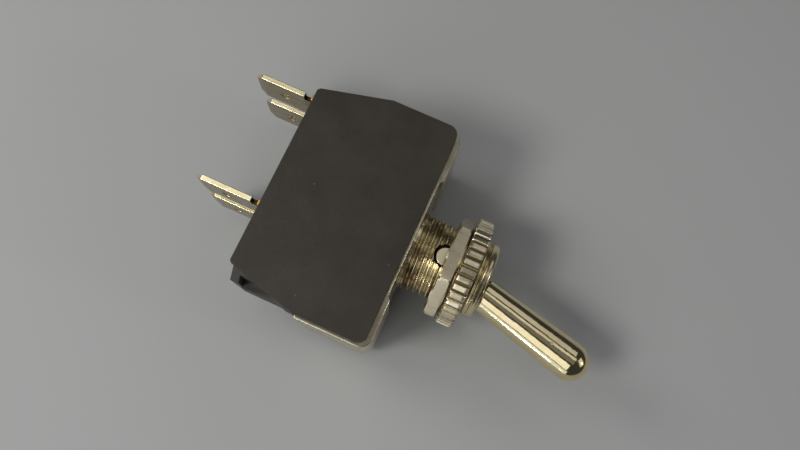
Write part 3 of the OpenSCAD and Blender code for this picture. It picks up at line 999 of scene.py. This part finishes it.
@dataclass
class Nuts:
    """The hexagon nut and the knurled nut on the bushing."""

    bore_r: float = 6.05 * MM
    mouth: float = 0.35 * MM
    rim: float = 0.02 * MM
    longest: float = 0.22 * MM
    hex_flats: float = 14.3 * MM
    hex_turn: float = 24.5
    hex_slope: float = 14.0
    hex_inset: float = 0.1 * MM
    hex_break: float = 0.05 * MM
    hex_break_angle: float = 0.02
    hex_steps: int = 24
    hex_crisp_deg: float = 18.0
    knurl_r: float = 8.5 * MM
    knurl_depth: float = 0.5 * MM
    knurl_inset: float = 0.28 * MM
    knurl_slope: float = 1.1
    knurl_lip: float = 0.45 * MM
    tooth_flat: float = 0.5
    tooth_flank: float = 0.4
    teeth: int = 40
    steps_per_tooth: int = 12
    knurl_crisp_deg: float = 30.0
    hex_plate: PlatedFinish = PlatedFinish(
        "hex_nut_plate", (0.74, 0.66, 0.48), (0.68, 0.59, 0.41), roughness=0.29,
        drawn=(0.4, 1.0, 1.0), pits=0.3, grain=0.002 * MM)
    # The knurled nut's plate carries painted shade in the gaps between its teeth.
    knurl_plate: PlatedFinish = PlatedFinish(
        "knurled_nut_plate", (0.88, 0.80, 0.60), (0.74, 0.63, 0.42), roughness=0.24,
        drawn=(0.3, 1.0, 1.0), pits=0.4, grain=0.004 * MM, shade_radii=(8.1 * MM, 8.4 * MM))

    def ring(self, low: float, high: float, outer: float, lip: float) -> np.ndarray:
        """Closed profile of a nut, from its bore round the outside and back.

        Args:
            low: the nut's back face along X.
            high: its front face.
            outer: radius of the outside.
            lip: how far the faces' flat part stops short of the outside.

        Returns:
            Rows of x and radius.
        """
        b, m = self.bore_r, self.mouth
        return refine([(low + m, b), (low, b + m), (low, outer - lip), (low + self.rim, outer),
                       (high - self.rim, outer), (high, outer - lip), (high, b + m),
                       (high - m, b), (low + m, b)], self.longest)[:-1]

    def hexagon(self) -> bpy.types.Object:
        """The hexagon nut. Its outside is the smaller of the hexagon's radius, flats / 2 over the
        cosine of the angle from the nearest flat, and the cone that chamfers both faces.

        Returns:
            The nut, turned to its place about the axis.
        """
        low, high = (c.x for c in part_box("hex_nut"))
        flat = self.hex_flats / 2.0
        corner = flat / math.cos(math.pi / 6.0)
        slope = math.tan(math.radians(self.hex_slope))

        def radius_at(x: np.ndarray, r: np.ndarray, a: np.ndarray) -> np.ndarray:
            """Limits the ring's radius to the hexagon, with broken corners, and to the two cones.

            Args:
                x: places along the axis.
                r: the ring's radii.
                a: angles about the axis.

            Returns:
                The nut's radii.
            """
            sector = (a + np.pi / 6.0) % (np.pi / 3.0) - np.pi / 6.0
            from_corner = (np.abs(sector) - np.pi / 6.0) / self.hex_break_angle
            hexagon = flat / np.cos(sector) - self.hex_break * np.exp(-from_corner ** 2)
            cone = flat - self.hex_inset + np.minimum(x - low, high - x) / slope
            return np.minimum(r, np.minimum(hexagon, cone))

        columns = 6 * self.hex_steps
        profile = self.ring(low, high, corner, corner - flat + self.hex_inset)
        tilt = Matrix.Rotation(math.radians(self.hex_turn), 3, Axis.X.value)
        return mesh_object("hex_nut_chamfered",
                           turned(profile, columns, radius_at) @ np.array(tilt).T,
                           grid_faces(len(profile), columns, close_rows=True))

    def knurled(self) -> bpy.types.Object:
        """The knurled nut. Its outside has flat-topped teeth: the depth follows the angle within a
        tooth, and a cone breaks the teeth at both faces.

        Returns:
            The nut.
        """
        low, high = (c.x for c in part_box("knurled_nut"))

        def radius_at(x: np.ndarray, r: np.ndarray, a: np.ndarray) -> np.ndarray:
            """Limits the ring's radius to the teeth and to the two cones.

            Args:
                x: places along the axis.
                r: the ring's radii.
                a: angles about the axis.

            Returns:
                The nut's radii.
            """
            away = np.abs((a * self.teeth / (2.0 * np.pi) + 0.5) % 1.0 - 0.5) * 2.0
            dip = np.clip((away - self.tooth_flat) / self.tooth_flank, 0.0, 1.0)
            tooth = self.knurl_r - self.knurl_depth * dip * dip * (3.0 - 2.0 * dip)
            from_face = np.minimum(x - low, high - x)
            cone = self.knurl_r - self.knurl_inset + from_face * self.knurl_slope
            return np.minimum(r, np.minimum(tooth, cone))

        columns = self.teeth * self.steps_per_tooth
        profile = self.ring(low, high, self.knurl_r, self.knurl_lip)
        return mesh_object("knurled_nut_toothed", turned(profile, columns, radius_at),
                           grid_faces(len(profile), columns, close_rows=True))

    def build(self) -> None:
        """Builds both nuts."""
        hexagon = self.hexagon()
        smooth(hexagon, self.hex_crisp_deg)
        dress(hexagon, self.hex_plate.build(), Body.HEX_NUT, "hex_nut")
        knurled = self.knurled()
        smooth(knurled, self.knurl_crisp_deg)
        dress(knurled, self.knurl_plate.build(), Body.KNURLED_NUT, "knurled_nut")


@dataclass
class BatHandle:
    """The polished bat handle, with the ball that it turns on and its inner stem."""

    pivot_x: float = 4.55 * MM
    tilt: float = -14.0
    ball_r: float = 4.0 * MM
    stem_r: float = 2.0 * MM
    stem_reach: float = 12.2 * MM
    stem_break: float = 0.2 * MM
    neck_r: float = 2.0 * MM
    neck_run: float = 0.5 * MM
    bat_start: float = 7.6 * MM
    base_r: float = 2.55 * MM
    base_round: float = 0.3 * MM
    base_shift: float = 0.1 * MM
    tip_r: float = 3.0 * MM
    reach: float = 26.5 * MM
    longest: float = 0.5 * MM
    columns: int = 128
    crisp_deg: float = 30.0
    plate: PolishedFinish = PolishedFinish("polished_plate")

    def build(self) -> None:
        """Turns the handle's outline about its own axis, then tips it about the pivot."""
        tip_x = self.reach - self.tip_r
        meet = math.degrees(math.asin(self.stem_r / self.ball_r))
        base_x, base_r = self.bat_start + self.base_shift, self.base_r - self.base_round
        points = [(-self.stem_reach, 0.0), (-self.stem_reach, self.stem_r - self.stem_break),
                  (self.stem_break - self.stem_reach, self.stem_r),
                  *arc(0.0, 0.0, self.ball_r, 180.0 - meet, meet, 25),
                  (self.bat_start - self.neck_run, self.neck_r),
                  *arc(base_x, base_r, self.base_round, 150.0, 92.0, 6),
                  *arc(tip_x, 0.0, self.tip_r, 94.0, 0.0, 40)]
        profile = refine(points, self.longest)
        profile[-1, 1] = 0.0
        turn = Matrix.Rotation(math.radians(self.tilt), 3, Axis.Z.value)
        verts = turned(profile, self.columns) @ np.array(turn).T
        verts += np.array([self.pivot_x, 0.0, 0.0])
        piece = mesh_object("bat_handle", verts, grid_faces(len(profile), self.columns))
        smooth(piece, self.crisp_deg)
        dress(piece, self.plate.build(), Body.TOGGLE, "lever")


@dataclass
class Terminals:
    """The four blade terminals, two for each pole."""

    edge: float = 0.1 * MM
    tin: BladeFinish = BladeFinish("tinned_blade")

    def build(self) -> None:
        """Builds the four blades from one finish."""
        material = self.tin.build()
        for place in ("end", "centre"):
            for side in Side:
                node = f"{place}_terminal_{side.name.lower()}"
                piece = softened(node, f"{node}_blade", self.edge)
                dress(piece, material, Body.SWITCH, node)


@dataclass
class Mechanism:
    """The parts inside the housing, finished plainly."""

    strip: PlatedFinish = PlatedFinish(
        "contact_strip_metal", (0.76, 0.50, 0.28), (0.60, 0.38, 0.2), roughness=0.3)
    silver: PlatedFinish = PlatedFinish(
        "contact_silver", (0.86, 0.86, 0.83), (0.7, 0.69, 0.66))
    turned_brass: PlatedFinish = PlatedFinish(
        "turned_brass", (0.74, 0.60, 0.32), (0.6, 0.46, 0.22))
    wire: PlatedFinish = PlatedFinish(
        "spring_wire_steel", (0.6, 0.6, 0.61), (0.45, 0.45, 0.47), roughness=0.3)
    natural: MouldedFinish = MouldedFinish(
        "natural_moulding", (0.55, 0.52, 0.44), (0.66, 0.63, 0.55),
        pale_speck=(0.4, 0.36, 0.3), roughness=0.45)

    def build(self) -> None:
        """Paints each inner node."""
        paint("actuator", self.natural.build())
        for stem, finish in (("rocker_contact", self.strip), ("moving_contact", self.silver),
                             ("fixed_contact", self.silver), ("plunger", self.turned_brass),
                             ("plunger_spring", self.wire)):
            material = finish.build()
            for side in Side:
                paint(f"{stem}_{side.name.lower()}", material)


# ---------------------------------------------------------------- studio


def pose(place: Triple, right: Vector, back: Vector) -> Matrix:
    """The matrix of a lamp or camera, which looks along its own -Z.

    Args:
        place: where it stands.
        right: unit vector along its own X.
        back: unit vector along its own Z, square to right.

    Returns:
        The matrix.
    """
    axes = Matrix((right, back.cross(right), back)).transposed().to_4x4()
    return Matrix.Translation(place) @ axes


@dataclass(frozen=True)
class Lamp:
    """A rectangular area lamp that faces the origin, its first side along a chosen direction."""

    name: str
    place: Triple
    size: tuple[float, float]
    radiance: float
    color: Triple = (1.0, 1.0, 1.0)
    side: Triple = (0.970, -0.242, 0.0)

    def build(self) -> None:
        """Places the lamp. Its power is radiance times pi times its area."""
        data = bpy.data.lights.new(self.name, "AREA")
        data.shape = "RECTANGLE"
        data.size, data.size_y = self.size
        data.energy = self.radiance * math.pi * self.size[0] * self.size[1]
        data.color = self.color
        along = Vector(self.side)
        back = Vector(self.place).normalized()
        right = (along - along.dot(back) * back).normalized()
        lamp = bpy.data.objects.new(self.name, data)
        lamp.matrix_world = pose(self.place, right, back)
        bpy.context.scene.collection.objects.link(lamp)


@dataclass
class Studio:
    """A pale floor, soft lamps and the camera."""

    camera_at: Triple = (3.824 * MM, -21.494 * MM, 107.341 * MM)
    forward: Triple = (-0.06838, 0.21978, -0.97315)
    up: Triple = (-0.40413, 0.88572, 0.22843)
    lens: float = 32.39
    sensor: float = 36.0
    clip: tuple[float, float] = (0.005, 10.0)
    floor_half: float = 1.2
    floor_gap: float = 0.02 * MM
    floor_roughness: float = 0.85
    floor_color: Triple = (0.44, 0.45, 0.455)
    world_color: Triple = (0.62, 0.64, 0.66)
    world_strength: float = 0.055
    lamps: tuple[Lamp, ...] = (
        Lamp("key", (-0.200, -0.190, 0.340), (0.12, 0.12), 14.0, (1.0, 0.97, 0.92)),
        Lamp("left", (-0.330, 0.010, 0.230), (0.14, 0.14), 5.4, (1.0, 0.98, 0.95)),
        Lamp("window", (-0.079, -0.233, 0.245), (0.26, 0.23), 1.00),
        Lamp("horizon", (-0.070, -0.335, 0.055), (0.30, 0.16), 0.85, (0.86, 0.94, 1.0)),
        Lamp("overhead", (0.040, -0.048, 0.330), (0.22, 0.12), 0.13),
        Lamp("near_strip", (0.070, 0.062, 0.290), (0.20, 0.075), 0.58, side=(1.0, 0.0, 0.0)),
        Lamp("skylight", (-0.130, 0.062, 0.290), (0.14, 0.10), 1.25, side=(1.0, 0.0, 0.0)),
        Lamp("far_strip", (0.060, 0.265, 0.290), (0.20, 0.20), 0.46, side=(1.0, 0.0, 0.0)),
        Lamp("front", (0.310, 0.060, 0.170), (0.22, 0.16), 0.60, (1.0, 0.95, 0.86)),
        Lamp("front_spark", (0.300, 0.037, 0.142), (0.020, 0.020), 40.0),
        Lamp("side_spark", (-0.043, -0.335, 0.030), (0.024, 0.024), 25.0))

    def floor(self) -> None:
        """Lays the floor just under the lowest point of the object."""
        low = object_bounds()[0].z - self.floor_gap
        half = self.floor_half
        corners = [(-half, -half, low), (half, -half, low), (half, half, low), (-half, half, low)]
        piece = mesh_object("floor", np.array(corners), np.array([[0, 1, 2, 3]]))
        tree = Tree("pale_floor")
        piece.data.materials.append(tree.finish(self.floor_color, self.floor_roughness))
        piece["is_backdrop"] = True

    def camera(self) -> None:
        """Sets the camera by its place, its line of sight and its upward direction."""
        data = bpy.data.cameras.new("camera")
        data.lens, data.sensor_width = self.lens, self.sensor
        data.clip_start, data.clip_end = self.clip
        camera = bpy.data.objects.new("camera", data)
        bpy.context.scene.collection.objects.link(camera)
        back = -Vector(self.forward).normalized()
        right = Vector(self.up).cross(back).normalized()
        camera.matrix_world = pose(self.camera_at, right, back)
        bpy.context.scene.camera = camera

    def lights(self) -> None:
        """Places the area lamps, each turned to the object, and the world's even light."""
        for lamp in self.lamps:
            lamp.build()
        world = bpy.data.worlds.new("studio")
        world.use_nodes = True
        sky = world.node_tree.nodes["Background"]
        sky.inputs["Color"].default_value = rgba(self.world_color)
        sky.inputs["Strength"].default_value = self.world_strength
        bpy.context.scene.world = world

    def build(self) -> None:
        """Builds the whole studio."""
        self.floor()
        self.camera()
        self.lights()
        bpy.context.scene.view_settings.view_transform = "Standard"


def main() -> None:
    """Builds every sub-assembly, then the studio round it."""
    logging.basicConfig(level=logging.INFO, format="%(message)s")
    for part in (Housing(), Bracket(), Bushing(), Nuts(), BatHandle(), Terminals(), Mechanism(),
                 Studio()):
        LOG.info("building %s", type(part).__name__)
        part.build()


if __name__ == "__main__":
    main()
